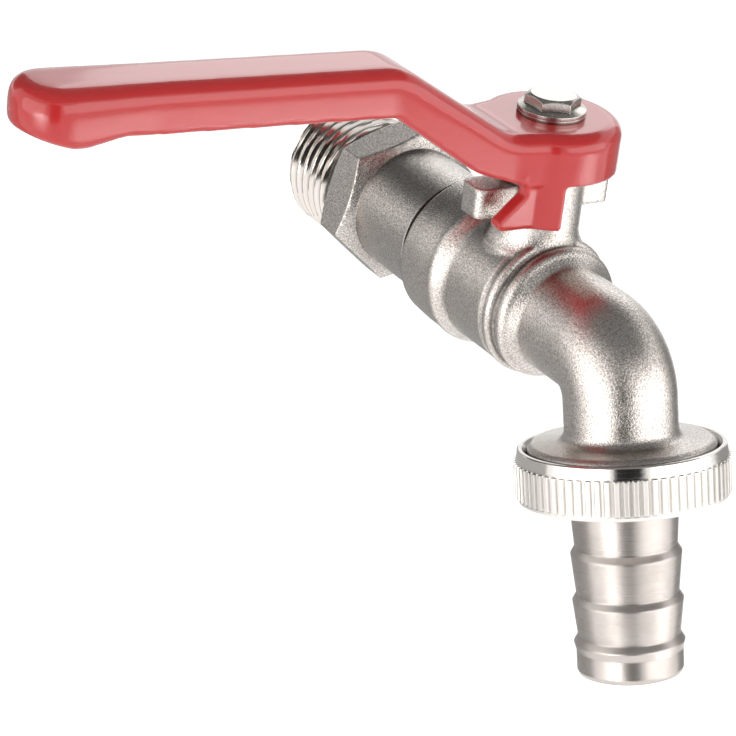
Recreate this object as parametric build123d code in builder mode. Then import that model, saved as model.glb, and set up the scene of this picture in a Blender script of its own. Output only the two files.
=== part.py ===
"""Quarter-turn ball tap with a lever handle, a union nut and a barbed hose tail.

Frame: millimetres, +Z up along the stem, +Y from the valve towards the wall, +X to the right
of someone who faces the wall. The origin lies on the body axis at the shoulder where the inlet
thread leaves the hexagon, so the tap keeps the frame of the pipe fitting that holds it.
"""

import os
from math import cos, pi, radians, sin, tan

from build123d import *

# Inlet side: G 1/2 male thread, hexagon and the cylinder that screws into the body
inlet_thread_radius = 20.955 / 2
inlet_thread_length = 13.6
inlet_bore_radius = 7.2
hexagon_flats = 21.8
hexagon_thickness = 5.2
hexagon_turn = 17.0
hexagon_chamfer = 1.6
hexagon_face = 0.35
hexagon_lead = 1.8
thread_chamfer = 0.9
connector_radius = 9.65
connector_break = 0.4
connector_waterway_margin = 0.6
bore_step = 6.0
bore_cone = 6.0

# Valve: everything along the body axis is placed from the stem axis
stem_from_shoulder = 39.0
ball_radius = 7.6
waterway_radius = 4.7
seat_width = 2.2
chamber_radius = 8.2
rim_from_stem = 16.6
rim_radius = 11.4
rim_chamfer = 0.5
rim_groove = 0.9
band_radius = 11.6
band_bead = 0.08
band_end = 9.0
band_shoulder = 2.1
band_foot = 1.5
barrel_radius = 10.45
barrel_end = 3.5
bead_radius = 10.6
bead_place = 4.9
bead_reach = 0.85
bead_drop = 0.85
second_bead_radius = 10.0
second_bead_place = 7.3
second_bead_reach = 1.2
second_bead_drop = 0.8
tube_radius = 8.0

# Stem boss and its two stop lugs
boss_radius = 6.2
boss_top = 20.0
boss_draft = 0.1
flare_radius = 7.35
flare_bottom = 8.2
flare_top = 12.0
left_lug_reach = 12.2
right_lug_reach = 10.6
lug_width = 5.0
lug_corner = 1.2
lug_bottom = 13.9
lug_top = 18.2

# Spout: leans forward from square to the body axis
spout_from_stem = 22.9
spout_lean = 17.4
bend_radius = 7.5
outlet_thread_radius = 26.441 / 2
spout_shoulder = 11.2
skirt_height = 1.3
skirt_reach = 1.2
spout_cone = 0.4
spout_chamfer = 0.6
spout_end = 15.6
spout_break = 0.5

# Union nut and hose tail, measured along the spout axis
nut_wall = 1.33
nut_grip = 0.7
nut_top = 12.1
knurl_top = 13.9
knurl_bottom = 18.8
nut_bottom = 19.7
nut_ribs = 72
nut_rib_depth = 0.35
nut_floor = 1.8
nut_edge = 0.6
nut_lip = 0.1
nut_mouth = 0.55
nut_lead = 1.0
nut_hole_gap = 0.6
rib_foot = 0.34
rib_crest = 0.2
collar_margin = 1.32
collar_thickness = 1.5
barb_radius = 7.85
barb_root_radius = 7.25
barb_positions = (27.6, 34.4, 40.45)
tail_land = 1.2
tail_end = 45.2
tail_chamfer = 0.8
tail_bore_chamfer = 0.5
tail_end_radius = 7.55
tail_bore_radius = 5.6

# Stem, seals and screw
stem_radius = 4.0
stem_square = 6.0
stem_collar_radius = 5.0
tang_width = 3.4
slot_depth = 2.0
ring_section = 1.6
screw_radius = 2.0
screw_flats = 7.0
screw_turn = 33.0
screw_flange_radius = 4.9
screw_head = 1.6
screw_washer_thickness = 0.5
flange_edge = 0.5
flange_thickness = 0.8
flange_fillet = 0.15
head_face = 0.3
head_chamfer = 1.1
head_lead = 1.6

# Lever
hub_radius = 10.3
hub_bottom = 20.6
hub_top = 27.7
hub_plate = 3.2
hub_wall = 2.0
fold_spread = 0.9
neck_taper = 0.35
neck_inset = 2.3
grip_half_width = 5.5
tip_half_width = 6.1
tip_bulge = 4.4
grip_start = 29.6
bend_start = 27.8
grip_top_start = 38.5
grip_top_rise = 2.4
grip_bottom_start = 31.05
grip_bottom_rise = 4.0
lever_reach = 82.6
lip_depth = 1.6
lip_length = 7.2
lever_bevel = 2.2
tip_corner = 3.7
arm_bend = 8.0
arm_sweep = 14.0
grip_skin = 3.6
grip_wall = 2.2
pocket_start = 4.0
pocket_end = 6.0
tongue_bottom = 13.9
tongue_toe = 12.6
tongue_thickness = 2.2
toe_nose = 0.7
toe_lift = 0.4
toe_height = 1.5
notch_reach = 4.4
notch_root = 3.4
notch_depth = 1.3
tongue_corner = 0.6

# Clearances
running = 0.05
assembly = 0.03
slack = 0.3
stop_gap = 0.4

stem_y = -stem_from_shoulder
lean = radians(spout_lean)
spout_corner = (0, stem_y - spout_from_stem, 0)
spout_direction = (0, -sin(lean), -cos(lean))
spout_plane = Plane(origin=spout_corner, x_dir=(1, 0, 0), z_dir=spout_direction)


def along_body(*points):
    """Profile points (radius, distance from the stem towards the wall) in the frame."""
    return [(radius, stem_y + distance) for radius, distance in points]


def on_spout(distance):
    """Plane square to the spout axis at a distance from the body axis."""
    return spout_plane.offset(distance)


def grip_top(distance):
    """Height of the grip's top at a distance from the stem."""
    return grip_top_start + (distance - grip_start) * tan(radians(grip_top_rise))


def grip_bottom(distance):
    """Height of the grip's underside at a distance from the stem."""
    return grip_bottom_start + (distance - grip_start) * tan(radians(grip_bottom_rise))


os.makedirs("parts", exist_ok=True)

spout_section = Plane(origin=spout_corner, x_dir=(1, 0, 0), z_dir=(0, cos(lean), -sin(lean)))
spout_axis = Axis(spout_corner, spout_direction)
stem_axis = Axis((0, stem_y, 0), (0, 0, 1))
stem_section = Plane(origin=(0, stem_y, 0), x_dir=(1, 0, 0), z_dir=(0, -1, 0))
seat_start = 0.54 * ball_radius
seat_end = seat_start + seat_width
collar_seat = nut_bottom - nut_floor - running
collar_top = collar_seat - collar_thickness
collar_pocket_top = chamber_radius + 2.5
nut_rim_radius = outlet_thread_radius + nut_wall
nut_radius = nut_rim_radius + nut_grip
collar_radius = outlet_thread_radius - collar_margin
neck_half_width = hub_radius - neck_inset

# Water path through the body: along the body axis, round the bend and down the spout
with BuildLine(Plane.YZ) as water_path:
    FilletPolyline(
        (stem_y - seat_end + 0.5, 0),
        (spout_corner[1], 0),
        (spout_corner[1] - spout_end * sin(lean), -spout_end * cos(lean)),
        radius=bend_radius,
    )
path_start = Plane(origin=water_path.line @ 0, z_dir=water_path.line % 0)

# Body: one pressed brass piece, turned along two axes, with the stem boss on top
with BuildPart() as body:
    with BuildSketch(Plane.XY):
        with BuildLine():
            rim = Polyline(
                *along_body(
                    (0, rim_from_stem),
                    (rim_radius - rim_chamfer, rim_from_stem),
                    (rim_radius, rim_from_stem - rim_chamfer),
                    (band_radius, (rim_from_stem + band_end) / 2),
                    (band_radius, band_end),
                )
            )
            shoulder = ThreePointArc(
                rim @ 1,
                *along_body(
                    (band_radius + band_bead, band_end - band_shoulder / 2),
                    ((band_radius + barrel_radius) / 2, band_end - band_shoulder),
                ),
            )
            foot = ThreePointArc(
                shoulder @ 1,
                *along_body(
                    (0.2 * band_radius + 0.8 * barrel_radius, band_end - band_shoulder - 0.4 * band_foot),
                    (barrel_radius, band_end - band_shoulder - band_foot),
                ),
            )
            barrel = Polyline(
                foot @ 1,
                *along_body(
                    (barrel_radius, -barrel_end),
                    (bead_radius - bead_drop, -bead_place + bead_reach),
                ),
            )
            first_bead = ThreePointArc(
                barrel @ 1,
                *along_body((bead_radius, -bead_place), (bead_radius - bead_drop, -bead_place - bead_reach)),
            )
            groove = Line(
                first_bead @ 1,
                *along_body((second_bead_radius - second_bead_drop, -second_bead_place + second_bead_reach)),
            )
            second_bead = ThreePointArc(
                groove @ 1,
                *along_body(
                    (second_bead_radius, -second_bead_place),
                    (second_bead_radius - second_bead_drop, -second_bead_place - second_bead_reach),
                ),
            )
            tube_start = second_bead_place + 2 * second_bead_reach
            Polyline(
                second_bead @ 1,
                *along_body((tube_radius, -tube_start), (0, -tube_start), (0, rim_from_stem)),
            )
        make_face()
    revolve(axis=Axis.Y)
    with BuildSketch(path_start):
        Circle(tube_radius)
    sweep(path=water_path.line)
    with BuildSketch(spout_section):
        with BuildLine():
            skirt = ThreePointArc(
                (tube_radius, spout_shoulder - skirt_height),
                (tube_radius + 0.3 * skirt_reach, spout_shoulder - 0.35 * skirt_height),
                (tube_radius + skirt_reach, spout_shoulder),
            )
            Polyline(
                skirt @ 1,
                (outlet_thread_radius - spout_chamfer, spout_shoulder + spout_cone),
                (outlet_thread_radius, spout_shoulder + spout_cone + spout_chamfer),
                (outlet_thread_radius, spout_end - spout_break),
                (outlet_thread_radius - spout_break, spout_end),
                (0, spout_end),
                (0, spout_shoulder - skirt_height),
                skirt @ 0,
            )
        make_face()
    revolve(axis=spout_axis)
    with BuildSketch(stem_section):
        with BuildLine():
            flare = ThreePointArc(
                (flare_radius, flare_bottom),
                (0.75 * boss_radius + 0.25 * flare_radius, 0.6 * flare_bottom + 0.4 * flare_top),
                (boss_radius, flare_top),
            )
            Polyline(
                flare @ 1,
                (boss_radius - boss_draft, boss_top),
                (0, boss_top),
                (0, 0),
                (flare_radius, 0),
                flare @ 0,
            )
        make_face()
    revolve(axis=stem_axis)
    with BuildSketch(Plane.XY.offset(lug_bottom)):
        with Locations(((right_lug_reach - left_lug_reach) / 2, stem_y)):
            RectangleRounded(left_lug_reach + right_lug_reach, lug_width, lug_corner)
    extrude(amount=lug_top - lug_bottom)
    with BuildSketch(Plane.XY):
        with BuildLine():
            Polyline(
                *along_body(
                    (0, rim_from_stem),
                    (connector_radius + assembly + rim_groove, rim_from_stem),
                    (connector_radius + assembly, rim_from_stem - 1.2 * rim_groove),
                    (connector_radius + assembly, seat_end),
                    (chamber_radius, seat_end),
                    (chamber_radius, -seat_end),
                    (0, -seat_end),
                    (0, rim_from_stem),
                )
            )
        make_face()
    revolve(axis=Axis.Y, mode=Mode.SUBTRACT)
    with BuildSketch(path_start):
        Circle(waterway_radius)
    sweep(path=water_path.line, mode=Mode.SUBTRACT)
    with BuildSketch(Plane.XY):
        with Locations((0, stem_y)):
            Circle(stem_radius + running)
    extrude(amount=boss_top, mode=Mode.SUBTRACT)
    with BuildSketch(Plane.XY):
        with Locations((0, stem_y)):
            Circle(stem_collar_radius + running)
    extrude(amount=collar_pocket_top, mode=Mode.SUBTRACT)
body.part.label = "body"
export_step(body.part, "parts/body.step")

# Inlet connector: turned from hexagon bar
with BuildPart() as inlet_connector:
    with BuildSketch(Plane.XZ):
        RegularPolygon(radius=hexagon_flats / 2, side_count=6, major_radius=False, rotation=hexagon_turn)
    extrude(amount=hexagon_thickness + hexagon_chamfer)
    with BuildSketch(Plane.XY):
        with BuildLine():
            Polyline(
                (0, 0),
                (hexagon_flats / 2 + hexagon_face, 0),
                (hexagon_flats, -hexagon_thickness),
                (hexagon_flats, hexagon_thickness),
                (0, hexagon_thickness),
                (0, 0),
            )
        make_face()
        with BuildLine():
            Polyline(
                (connector_radius, -hexagon_thickness - hexagon_chamfer),
                (hexagon_flats / 2 + hexagon_lead, -hexagon_thickness),
                (hexagon_flats, -hexagon_thickness / 2),
                (hexagon_flats, -2 * hexagon_thickness),
                (connector_radius, -2 * hexagon_thickness),
                (connector_radius, -hexagon_thickness - hexagon_chamfer),
            )
        make_face()
    revolve(axis=Axis.Y, mode=Mode.SUBTRACT)
    with BuildSketch(Plane.XY):
        with BuildLine():
            Polyline(
                (0, inlet_thread_length),
                (inlet_thread_radius - thread_chamfer, inlet_thread_length),
                (inlet_thread_radius, inlet_thread_length - thread_chamfer),
                (inlet_thread_radius, -hexagon_thickness / 2),
                (connector_radius, -hexagon_thickness / 2),
                (connector_radius, stem_y + seat_end + connector_break),
                (connector_radius - connector_break, stem_y + seat_end + assembly),
                (0, stem_y + seat_end + assembly),
                (0, inlet_thread_length),
            )
        make_face()
    revolve(axis=Axis.Y)
    with BuildSketch(Plane.XY):
        with BuildLine():
            Polyline(
                (0, inlet_thread_length),
                (inlet_bore_radius, inlet_thread_length),
                (inlet_bore_radius, stem_y + seat_end + bore_step + bore_cone),
                (waterway_radius + connector_waterway_margin, stem_y + seat_end + bore_step),
                (waterway_radius + connector_waterway_margin, stem_y + seat_end),
                (0, stem_y + seat_end),
                (0, inlet_thread_length),
            )
        make_face()
    revolve(axis=Axis.Y, mode=Mode.SUBTRACT)
inlet_connector.part.label = "inlet_connector"
export_step(inlet_connector.part, "parts/inlet_connector.step")

# Ball: bored across the body axis while the tap is closed, slotted on top for the stem
with BuildPart() as ball:
    with Locations((0, stem_y, 0)):
        Sphere(ball_radius)
        Cylinder(waterway_radius, 3 * ball_radius, rotation=(0, 90, 0), mode=Mode.SUBTRACT)
    with Locations((0, stem_y, ball_radius - slot_depth)):
        Box(
            tang_width + 2 * running,
            2 * ball_radius,
            ball_radius,
            align=(Align.CENTER, Align.CENTER, Align.MIN),
            mode=Mode.SUBTRACT,
        )
ball.part.label = "ball"
export_step(ball.part, "parts/ball.step")


def seat_profile(side):
    """Section of a seat ring on one side of the ball, before the ball's hollow is cut."""
    near = stem_y + side * seat_start
    far = stem_y + side * seat_end
    outer = chamber_radius - assembly
    inner = waterway_radius + 0.5
    return [(inner, near), (outer, near), (outer, far), (inner, far), (inner, near)]


with BuildPart() as inlet_seat:
    with BuildSketch(Plane.XY):
        with BuildLine():
            Polyline(*seat_profile(1))
        make_face()
    revolve(axis=Axis.Y)
    with Locations((0, stem_y, 0)):
        Sphere(ball_radius + running, mode=Mode.SUBTRACT)
inlet_seat.part.label = "inlet_seat"
export_step(inlet_seat.part, "parts/inlet_seat.step")

with BuildPart() as outlet_seat:
    with BuildSketch(Plane.XY):
        with BuildLine():
            Polyline(*seat_profile(-1))
        make_face()
    revolve(axis=Axis.Y)
    with Locations((0, stem_y, 0)):
        Sphere(ball_radius + running, mode=Mode.SUBTRACT)
outlet_seat.part.label = "outlet_seat"
export_step(outlet_seat.part, "parts/outlet_seat.step")

# Stem: pushed up from inside, its collar keeps it from being blown out
collar_bottom = chamber_radius + 0.1
washer_bottom = collar_bottom + 1.4
washer_top = collar_pocket_top - running
lower_ring_height = 13.4
upper_ring_height = 16.4
ring_centre = stem_radius + running - 0.02 - ring_section / 2
square_top = hub_top - 0.4
screw_hole_bottom = upper_ring_height + 2.2

with BuildPart() as stem:
    with BuildSketch(stem_section):
        with BuildLine():
            groove_root = ring_centre - ring_section / 2 - assembly
            half = ring_section / 2 + 0.1
            Polyline(
                (0, collar_bottom),
                (stem_collar_radius, collar_bottom),
                (stem_collar_radius, washer_bottom),
                (stem_radius, washer_bottom),
                (stem_radius, lower_ring_height - half),
                (groove_root, lower_ring_height - half),
                (groove_root, lower_ring_height + half),
                (stem_radius, lower_ring_height + half),
                (stem_radius, upper_ring_height - half),
                (groove_root, upper_ring_height - half),
                (groove_root, upper_ring_height + half),
                (stem_radius, upper_ring_height + half),
                (stem_radius, boss_top + 0.2),
                (0, boss_top + 0.2),
                (0, collar_bottom),
            )
        make_face()
    revolve(axis=stem_axis)
    with BuildSketch(Plane.XY.offset(boss_top + 0.2)):
        with Locations((0, stem_y)):
            Circle(stem_radius)
            Rectangle(stem_square, stem_square, mode=Mode.INTERSECT)
    extrude(amount=square_top - boss_top - 0.2)
    with BuildSketch(Plane.XY.offset(collar_bottom)):
        with Locations((0, stem_y)):
            Rectangle(tang_width, 2 * (seat_start - slack))
    extrude(amount=ball_radius - slot_depth + slack - collar_bottom)
    with BuildSketch(Plane.XY.offset(square_top)):
        with Locations((0, stem_y)):
            Circle(screw_radius + assembly)
    extrude(amount=screw_hole_bottom - square_top, mode=Mode.SUBTRACT)
stem.part.label = "stem"
export_step(stem.part, "parts/stem.step")

with BuildPart() as thrust_washer:
    with BuildSketch(Plane.XY.offset(washer_bottom)):
        with Locations((0, stem_y)):
            Circle(stem_collar_radius - running)
            Circle(stem_radius + assembly, mode=Mode.SUBTRACT)
    extrude(amount=washer_top - washer_bottom)
thrust_washer.part.label = "thrust_washer"
export_step(thrust_washer.part, "parts/thrust_washer.step")

with BuildPart() as lower_stem_ring:
    with Locations((0, stem_y, lower_ring_height)):
        Torus(ring_centre, ring_section / 2)
lower_stem_ring.part.label = "lower_stem_ring"
export_step(lower_stem_ring.part, "parts/lower_stem_ring.step")

with BuildPart() as upper_stem_ring:
    with Locations((0, stem_y, upper_ring_height)):
        Torus(ring_centre, ring_section / 2)
upper_stem_ring.part.label = "upper_stem_ring"
export_step(upper_stem_ring.part, "parts/upper_stem_ring.step")

# Lever: side outline cut by the plan outline, rounded along its upper edges
arm_foot = (-hub_radius - 0.5, hub_top)
arm_head = (-bend_start, grip_top(bend_start))
arm_throat = (-grip_start + 0.3, grip_bottom(grip_start) + 0.9)
arm_belly = (-hub_radius - 5.9, hub_bottom + 2.4)
tip_top = (-lever_reach, grip_top(lever_reach))
tip_bottom = (-lever_reach, grip_bottom(lever_reach))
lip = (-lever_reach + lip_length, grip_bottom(lever_reach - lip_length) - lip_depth)
lip_end = (-lever_reach + 1.8 * lip_length, grip_bottom(lever_reach - 1.8 * lip_length))


def corners_at(sketch, *points):
    """The corners of a sketch that lie nearest to the given points."""
    return [sketch.vertices().sort_by_distance((*point, 0))[0] for point in points]


with BuildPart() as lever:
    with BuildSketch(stem_section) as side_outline:
        with BuildLine():
            Polyline(
                (hub_radius + 1, hub_bottom),
                (hub_radius + 1, hub_top),
                arm_foot,
                arm_head,
                tip_top,
                tip_bottom,
                lip,
                lip_end,
                arm_throat,
                arm_belly,
                (-hub_radius + hub_wall, hub_bottom),
                close=True,
            )
        make_face()
        fillet(corners_at(side_outline, arm_foot, arm_head), radius=arm_bend)
        fillet(corners_at(side_outline, arm_belly), radius=arm_sweep)
        fillet(corners_at(side_outline, arm_throat, lip, lip_end), radius=arm_bend / 3)
    extrude(amount=2 * hub_radius, both=True)
    with BuildSketch(Plane.XY) as plan_outline:
        with Locations((0, stem_y)):
            Circle(hub_radius)
        with BuildLine():
            near_side = FilletPolyline(
                (-0.4 * hub_radius, stem_y - neck_half_width - fold_spread),
                (-hub_radius, stem_y - neck_half_width + neck_taper),
                (-grip_start, stem_y - grip_half_width),
                (-lever_reach + 4 * tip_bulge, stem_y - grip_half_width),
                (-lever_reach + tip_bulge, stem_y - tip_half_width),
                radius=arm_bend,
            )
            tip_end = ThreePointArc(
                near_side @ 1,
                (-lever_reach, stem_y),
                (-lever_reach + tip_bulge, stem_y + tip_half_width),
            )
            far_side = FilletPolyline(
                tip_end @ 1,
                (-lever_reach + 4 * tip_bulge, stem_y + grip_half_width),
                (-grip_start, stem_y + grip_half_width),
                (-hub_radius, stem_y + neck_half_width - neck_taper),
                (-0.4 * hub_radius, stem_y + neck_half_width + fold_spread),
                radius=arm_bend,
            )
            Line(far_side @ 1, near_side @ 0)
        make_face()
        tip_corners = corners_at(plan_outline, *((end.X, end.Y) for end in (near_side @ 1, tip_end @ 1)))
        fillet(tip_corners, radius=tip_corner)
        fold = (-0.55 * hub_radius, 0.83 * hub_radius)
        folds = corners_at(plan_outline, (fold[0], stem_y - fold[1]), (fold[0], stem_y + fold[1]))
        fillet(folds, radius=lever_bevel)
    extrude(amount=60, mode=Mode.INTERSECT)
    upper_faces = [face for face in lever.faces() if face.normal_at().Z > 0.4]
    upper_edges = [edge for face in upper_faces for edge in face.edges()]
    outer_edges = [edge for edge in upper_edges if sum(edge.is_same(other) for other in upper_edges) == 1]
    fillet(outer_edges, radius=lever_bevel)
    with BuildSketch(Plane.XY.offset(hub_bottom)):
        with Locations((0, stem_y)):
            Circle(hub_radius - hub_wall)
    extrude(amount=hub_top - hub_plate - hub_bottom, mode=Mode.SUBTRACT)
    with BuildSketch(stem_section):
        with BuildLine():
            Polyline(
                (-grip_start - pocket_start, grip_top(grip_start + pocket_start) - grip_skin),
                (-lever_reach + pocket_end, grip_top(lever_reach - pocket_end) - grip_skin),
                (-lever_reach + pocket_end, hub_bottom),
                (-grip_start - pocket_start, hub_bottom),
                close=True,
            )
        make_face()
    extrude(amount=grip_half_width - grip_wall, both=True, mode=Mode.SUBTRACT)
    with BuildPart(mode=Mode.PRIVATE) as tongue:
        with BuildSketch(stem_section):
            with BuildLine():
                FilletPolyline(
                    (-lug_width / 2 - stop_gap, hub_bottom + hub_wall),
                    (-lug_width / 2 - stop_gap, tongue_bottom),
                    (-tongue_toe + toe_nose, tongue_bottom + toe_lift),
                    (-tongue_toe, tongue_bottom + toe_height),
                    (-tongue_toe + notch_reach, hub_bottom - notch_depth),
                    (-tongue_toe + notch_root, hub_bottom + hub_wall),
                    close=True,
                    radius=tongue_corner,
                )
            make_face()
        extrude(amount=2 * hub_radius)
        with BuildSketch(Plane.XY):
            with Locations((0, stem_y)):
                Circle(hub_radius)
                Circle(hub_radius - hub_wall, mode=Mode.SUBTRACT)
            with Locations((-7, stem_y)):
                Rectangle(7, hub_radius, align=(Align.MIN, Align.MAX), mode=Mode.INTERSECT)
            with Locations((-16, stem_y - neck_half_width)):
                Rectangle(10, tongue_thickness, align=(Align.MIN, Align.MIN))
        extrude(amount=60, mode=Mode.INTERSECT)
    add(tongue.part)
    with BuildSketch(Plane.XY.offset(hub_bottom)):
        with Locations((0, stem_y)):
            Circle(stem_radius + assembly)
            Rectangle(stem_square + 2 * assembly, stem_square + 2 * assembly, mode=Mode.INTERSECT)
    extrude(amount=hub_top - hub_bottom, mode=Mode.SUBTRACT)
lever.part.label = "lever"
export_step(lever.part, "parts/lever.step")

# Screw and washer that hold the lever down on the stem
flange_bottom = hub_top + screw_washer_thickness
flange_top = flange_bottom + flange_thickness
screw_head_top = flange_top + screw_head

with BuildPart() as screw_washer:
    with BuildSketch(Plane.XY.offset(hub_top)):
        with Locations((0, stem_y)):
            Circle(screw_flange_radius)
            Circle(screw_radius + 2 * running, mode=Mode.SUBTRACT)
    extrude(amount=screw_washer_thickness)
screw_washer.part.label = "screw_washer"
export_step(screw_washer.part, "parts/screw_washer.step")

with BuildPart() as lever_screw:
    with BuildSketch(Plane.XY.offset(flange_bottom)):
        with Locations((0, stem_y)):
            RegularPolygon(radius=screw_flats / 2, side_count=6, major_radius=False, rotation=screw_turn)
    extrude(amount=screw_head_top - flange_bottom)
    with BuildSketch(stem_section):
        with BuildLine():
            Polyline(
                (screw_flats / 2 - head_face, screw_head_top),
                (screw_flats / 2 + head_lead, screw_head_top - head_chamfer),
                (screw_flats / 2 + head_lead, screw_head_top),
                close=True,
            )
        make_face()
    revolve(axis=stem_axis, mode=Mode.SUBTRACT)
    with BuildSketch(stem_section):
        with BuildLine():
            Polyline(
                (0, flange_bottom),
                (screw_flange_radius, flange_bottom),
                (screw_flange_radius, flange_bottom + flange_edge),
                (screw_flats / 2, flange_top + flange_fillet),
                (0, flange_top + flange_fillet),
                close=True,
            )
        make_face()
    revolve(axis=stem_axis)
    with BuildSketch(Plane.XY.offset(flange_bottom)):
        with Locations((0, stem_y)):
            Circle(screw_radius)
    extrude(amount=screw_hole_bottom + 0.6 - flange_bottom)
lever_screw.part.label = "lever_screw"
export_step(lever_screw.part, "parts/lever_screw.step")

# Union nut: straight ribs round the grip, a floor that holds the collar of the hose tail
with BuildPart() as union_nut:
    with BuildSketch(spout_section):
        with BuildLine():
            Polyline(
                (outlet_thread_radius + nut_lip, nut_top + nut_lead),
                (nut_rim_radius - nut_mouth, nut_top),
                (nut_rim_radius - nut_lip, nut_top),
                (nut_rim_radius + nut_lip, nut_top + 1.5 * nut_lip),
                (nut_radius - nut_rib_depth, knurl_top),
                (nut_radius - nut_rib_depth, nut_bottom - nut_edge),
                (nut_radius - nut_rib_depth - 0.3 * nut_edge, nut_bottom - 0.3 * nut_edge),
                (nut_radius - nut_rib_depth - nut_edge, nut_bottom),
                (barb_radius + nut_hole_gap, nut_bottom),
                (barb_radius + nut_hole_gap, nut_bottom - nut_floor),
                (outlet_thread_radius + nut_lip, nut_bottom - nut_floor),
                close=True,
            )
        make_face()
    revolve(axis=spout_axis)
    with BuildSketch(on_spout(knurl_top)):
        with BuildLine():
            corners = []
            for rib in range(nut_ribs):
                turn = 2 * pi / nut_ribs
                for offset, radius in (
                    (-rib_foot, nut_radius - nut_rib_depth),
                    (-rib_crest, nut_radius),
                    (rib_crest, nut_radius),
                    (rib_foot, nut_radius - nut_rib_depth),
                ):
                    angle = (rib + offset) * turn
                    corners.append((radius * cos(angle), radius * sin(angle)))
            Polyline(*corners, close=True)
        make_face()
        Circle(outlet_thread_radius + 1, mode=Mode.SUBTRACT)
    extrude(amount=knurl_bottom - knurl_top)
union_nut.part.label = "union_nut"
export_step(union_nut.part, "parts/union_nut.step")

# Hose tail: collar under the nut, neck and three barbs
neck_radius = barb_radius - 0.1
barb_step = 1.0
first_barb, second_barb, third_barb = barb_positions

with BuildPart() as hose_tail:
    with BuildSketch(spout_section):
        with BuildLine():
            Polyline(
                (tail_bore_radius, collar_top),
                (collar_radius, collar_top),
                (collar_radius, collar_seat),
                (neck_radius, collar_seat),
                (neck_radius, nut_bottom),
                (barb_root_radius, first_barb - barb_step),
                (barb_radius, first_barb),
                (barb_root_radius, second_barb - barb_step),
                (barb_radius, second_barb),
                (barb_root_radius, third_barb - barb_step),
                (barb_radius, third_barb),
                (tail_end_radius, third_barb + tail_land),
                (tail_end_radius, tail_end - tail_chamfer),
                (tail_end_radius - 0.3 * tail_chamfer, tail_end - 0.3 * tail_chamfer),
                (tail_end_radius - tail_chamfer, tail_end),
                (tail_bore_radius + tail_bore_chamfer, tail_end),
                (tail_bore_radius, tail_end - tail_bore_chamfer),
                close=True,
            )
        make_face()
    revolve(axis=spout_axis)
hose_tail.part.label = "hose_tail"
export_step(hose_tail.part, "parts/hose_tail.step")

with BuildPart() as tail_gasket:
    with BuildSketch(on_spout(spout_end + running)):
        Circle(collar_radius - 0.1)
        Circle(tail_bore_radius + 0.2, mode=Mode.SUBTRACT)
    extrude(amount=collar_top - spout_end - running)
tail_gasket.part.label = "tail_gasket"
export_step(tail_gasket.part, "parts/tail_gasket.step")
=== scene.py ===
# %% [markdown]
# A quarter-turn wall tap in plated brass, with a red lever, a ribbed union nut and a hose tail.
# The solids come from the CAD model and stay where they are. This lesson dresses them: it cuts the
# screw thread that the CAD model leaves plain, rounds the lever as its enamel does, gives every piece
# its finish, and sets up the studio and the camera.

# %% Load the CAD frame
from math import atan2, cos, pi, radians, sin

import bpy
from mathutils import Matrix, Vector


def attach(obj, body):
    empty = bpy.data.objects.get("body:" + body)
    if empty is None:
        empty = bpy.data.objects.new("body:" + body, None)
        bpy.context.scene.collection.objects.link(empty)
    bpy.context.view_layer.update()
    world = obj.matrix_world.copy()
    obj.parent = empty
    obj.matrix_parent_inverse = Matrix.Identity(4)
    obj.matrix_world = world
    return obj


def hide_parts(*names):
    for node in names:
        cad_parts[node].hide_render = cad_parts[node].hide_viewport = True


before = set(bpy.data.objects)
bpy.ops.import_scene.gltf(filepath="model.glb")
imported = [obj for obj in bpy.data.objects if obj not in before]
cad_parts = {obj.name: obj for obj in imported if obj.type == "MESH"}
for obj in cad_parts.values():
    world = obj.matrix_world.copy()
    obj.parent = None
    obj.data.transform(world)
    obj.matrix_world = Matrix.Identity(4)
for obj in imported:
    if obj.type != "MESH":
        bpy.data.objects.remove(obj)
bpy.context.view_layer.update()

# %% [markdown]
# The tap has two axes of turning besides its stem: the body axis along Y through the origin, and the
# spout axis, which leans forward. Turned finishes follow these axes. They could be read off the meshes,
# but it is surer to write them down once, in metres, from the same sizes as the CAD model.

# %% Shared sizes of the tap
MM = 0.001
STEM_Y = -39.0 * MM
SPOUT_LEAN = radians(17.4)
SPOUT_REACH = 22.9 * MM
SPOUT_CORNER = Vector((0, STEM_Y - SPOUT_REACH, 0))
SPOUT_DIRECTION = Vector((0, -sin(SPOUT_LEAN), -cos(SPOUT_LEAN)))
print("Spout axis leaves", SPOUT_CORNER, "towards", SPOUT_DIRECTION)

# %% [markdown]
# The photograph was taken from the front left and a little above, with a long lens, so the two ends
# of the tap differ little in scale. A camera can be aimed with a Track To constraint or turned by
# three angles. Here its own right and down directions are written instead, because they were found
# by lining up edges of the tap, and a matrix takes them as they are.

# %% Camera at the photograph's angle
CAMERA_PLACE = Vector((-0.20971, -0.31329, 0.15287))
CAMERA_RIGHT = Vector((0.8527, -0.5127, 0.1000))
CAMERA_DOWN = Vector((-0.1499, -0.4237, -0.8933))
IMAGE_SIDE = 736
FOCAL_PIXELS = 2600
SENSOR = 36
NEAREST = 0.01
FARTHEST = 20

scene = bpy.context.scene
camera_data = bpy.data.cameras.new("photo_camera")
camera_data.sensor_width = SENSOR
camera_data.lens = SENSOR * FOCAL_PIXELS / IMAGE_SIDE
camera_data.clip_start = NEAREST
camera_data.clip_end = FARTHEST
camera = bpy.data.objects.new("photo_camera", camera_data)
scene.collection.objects.link(camera)
camera_up = -CAMERA_DOWN.normalized()
camera_right = (CAMERA_RIGHT - CAMERA_RIGHT.dot(camera_up) * camera_up).normalized()
camera_back = camera_right.cross(camera_up)
camera_turn = Matrix((camera_right, camera_up, camera_back)).transposed()
camera.matrix_world = Matrix.Translation(CAMERA_PLACE) @ camera_turn.to_4x4()
scene.camera = camera
print("Lens:", round(camera_data.lens, 1), "mm")

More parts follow.
